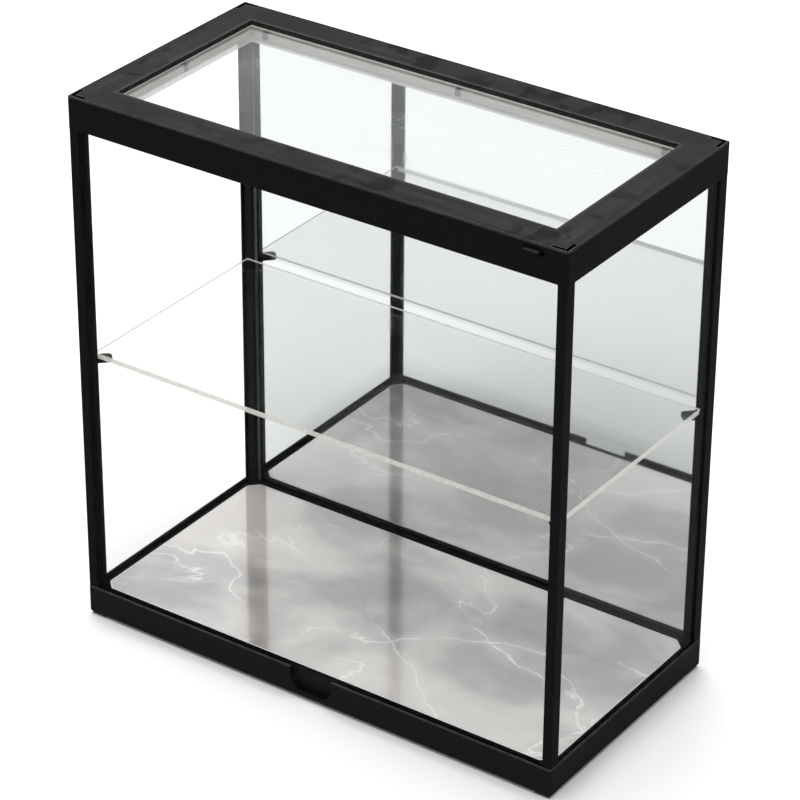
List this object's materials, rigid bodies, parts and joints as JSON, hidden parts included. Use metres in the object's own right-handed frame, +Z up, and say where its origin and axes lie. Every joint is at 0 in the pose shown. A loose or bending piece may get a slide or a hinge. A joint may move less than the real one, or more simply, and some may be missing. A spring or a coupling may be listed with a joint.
{
  "type": "lighted display case",
  "caption": "Free-standing clear display case in a black frame, with a mirror back, marble-look floor, lift-out front, lift-off shelf and a switched light ring in the top.",
  "frame": {"origin": "under the middle of the case, on the plane that its feet stand on", "axes": "+Z up, -Y out of the lift-out front, +X to the right as seen from the front"},
  "size_m": [0.31, 0.1565, 0.3215],
  "materials": {
    "frame_plastic": "satin black, finely grained",
    "clear_acrylic": "clear, polished",
    "mirror_sheet": "silvered",
    "marble_sheet": "glossy, pale grey marble pattern",
    "frosted_acrylic": "frosted",
    "foot_rubber": "matt black",
    "screw_steel": "plain",
    "clip_plastic": "grey",
    "strip_film": "white film",
    "chip_resin": "yellow resin",
    "board_laminate": "green solder mask",
    "wire_sleeve": "red sleeve"
  },
  "bodies": {
    "case": {"base_frame": "frame_plastic", "base_cover": "frame_plastic", "post_front_left": "frame_plastic", "post_front_right": "frame_plastic", "post_rear_left": "frame_plastic", "post_rear_right": "frame_plastic", "shelf_bracket_front_left": "frame_plastic", "shelf_bracket_front_right": "frame_plastic", "shelf_bracket_rear_left": "frame_plastic", "shelf_bracket_rear_right": "frame_plastic", "top_frame": "frame_plastic", "switch_body": "frame_plastic", "left_panel": "clear_acrylic", "right_panel": "clear_acrylic", "top_panel": "clear_acrylic", "back_mirror": "mirror_sheet", "floor_panel": "marble_sheet", "diffuser_front": "frosted_acrylic", "diffuser_rear": "frosted_acrylic", "diffuser_left": "frosted_acrylic", "diffuser_right": "frosted_acrylic", "stacking_feet": "foot_rubber", "base_screws": "screw_steel", "cover_screws": "screw_steel", "power_inlet": "screw_steel", "diffuser_clips": "clip_plastic", "led_strip_front": "strip_film", "led_strip_rear": "strip_film", "led_strip_left": "strip_film", "led_strip_right": "strip_film", "led_chips": "chip_resin", "control_board": "board_laminate", "switch_lead": "wire_sleeve", "inlet_lead": "wire_sleeve", "strip_links": "wire_sleeve"},
    "front": {"front_panel": "clear_acrylic"},
    "shelf_board": {"shelf": "clear_acrylic"},
    "switch": {"switch_knob": "frame_plastic"}
  },
  "joints": [
    {"name": "front_lift", "type": "slide", "parent": "case", "child": "front", "axis": [0, 0, 1], "range_m": [0, 0.0064]},
    {"name": "shelf_lift", "type": "slide", "parent": "case", "child": "shelf_board", "axis": [0, 0, 1], "range_m": [0, 0.13]},
    {"name": "switch_slide", "type": "slide", "parent": "case", "child": "switch", "axis": [1, 0, 0], "range_m": [0, 0.0022]}
  ]
}
